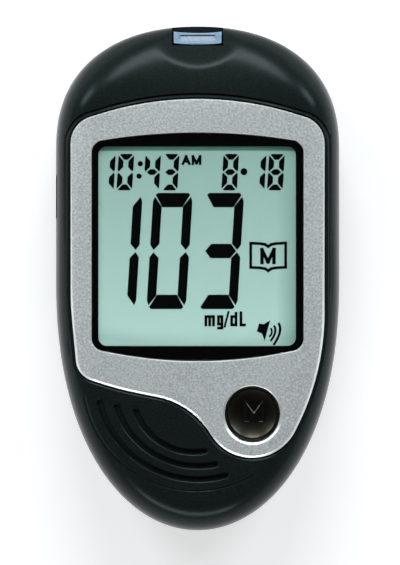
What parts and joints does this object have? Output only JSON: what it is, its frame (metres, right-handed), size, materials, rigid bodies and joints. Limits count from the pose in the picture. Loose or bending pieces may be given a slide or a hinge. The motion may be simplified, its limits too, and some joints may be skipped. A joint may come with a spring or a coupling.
{
  "type": "blood glucose meter",
  "caption": "Egg-shaped handheld blood glucose meter: large display, round memory button, strip port, sliding battery door.",
  "frame": {"origin": "bottom centre of the bounding box: under the middle of the outline, on the flat rear face", "axes": "+Z out of the display, +Y towards the end with the strip port, +X to the right when the display is read"},
  "size_m": [0.054, 0.096, 0.0206],
  "materials": {
    "housing_black": "fine spark texture",
    "rear_black": "fine spark texture",
    "door_black": "fine spark texture",
    "plate_silver": "silver metallic paint",
    "window_clear": "polished clear acrylic with a printed dark border",
    "gasket_black": "adhesive foam",
    "lcd_glass": "display glass",
    "lcd_reflector": "reflector film",
    "holder_white": "moulded",
    "elastomer_grey": "layered conductive rubber",
    "button_black": "semi-gloss",
    "set_button_grey": "moulded",
    "switch_black": "moulded",
    "plunger_brown": "moulded",
    "board_green": "solder mask on glass-fibre board",
    "chip_black": "moulded",
    "crystal_can": "drawn can",
    "capacitor_can": "drawn can",
    "port_blue": "translucent",
    "connector_black": "moulded",
    "contact_gold": "gold plated",
    "port_steel": "stamped",
    "insert_black": "moulded",
    "foam_black": "foam",
    "speaker_steel": "stamped",
    "cone_film": "formed film",
    "magnet_grey": "plated",
    "lead_red": "insulation",
    "lead_black": "insulation",
    "cell_wrap": "plain wrap on a steel can",
    "contact_nickel": "nickel plated",
    "spring_nickel": "nickel plated",
    "screw_steel": "zinc plated"
  },
  "bodies": {
    "meter": {"front_housing": "housing_black", "rear_housing": "rear_black", "faceplate": "plate_silver", "display_window": "window_clear", "window_gasket": "gasket_black", "lcd_front_glass": "lcd_glass", "lcd_rear_glass": "lcd_glass", "lcd_reflector": "lcd_reflector", "lcd_holder": "holder_white", "elastomer_strip_lower": "elastomer_grey", "elastomer_strip_upper": "elastomer_grey", "memory_switch": "switch_black", "set_switch": "switch_black", "main_board": "board_green", "controller_chip": "chip_black", "voice_chip": "chip_black", "memory_chip": "chip_black", "crystal": "crystal_can", "capacitor": "capacitor_can", "strip_port": "port_blue", "strip_connector": "connector_black", "strip_contact_1": "contact_gold", "strip_contact_2": "contact_gold", "strip_contact_3": "contact_gold", "data_port": "port_steel", "data_port_insert": "insert_black", "speaker_gasket": "foam_black", "speaker_frame": "speaker_steel", "speaker_cone": "cone_film", "speaker_magnet": "magnet_grey", "speaker_lead_1": "lead_red", "speaker_lead_2": "lead_black", "battery_cell_1": "cell_wrap", "battery_cell_2": "cell_wrap", "bridge_contact": "contact_nickel", "positive_contact": "contact_nickel", "negative_contact": "contact_nickel", "battery_spring_1": "spring_nickel", "battery_spring_2": "spring_nickel", "case_screw_1": "screw_steel", "case_screw_2": "screw_steel", "case_screw_3": "screw_steel", "case_screw_4": "screw_steel"},
    "memory_button": {"memory_button": "button_black", "memory_switch_plunger": "plunger_brown"},
    "set_button": {"set_button": "set_button_grey", "set_switch_plunger": "plunger_brown"},
    "battery_door": {"battery_door": "door_black"}
  },
  "joints": [
    {"name": "memory_button_press", "type": "slide", "parent": "meter", "child": "memory_button", "axis": [0, 0, -1], "range_m": [0, 0.0005], "stiffness_N_per_m": 2500, "springref_m": -0.0003},
    {"name": "set_button_press", "type": "slide", "parent": "meter", "child": "set_button", "axis": [0, 0, 1], "range_m": [0, 0.0005], "stiffness_N_per_m": 2000, "springref_m": -0.0003},
    {"name": "battery_door_slide", "type": "slide", "parent": "meter", "child": "battery_door", "axis": [0, -1, 0], "range_m": [0, 0.008]}
  ]
}
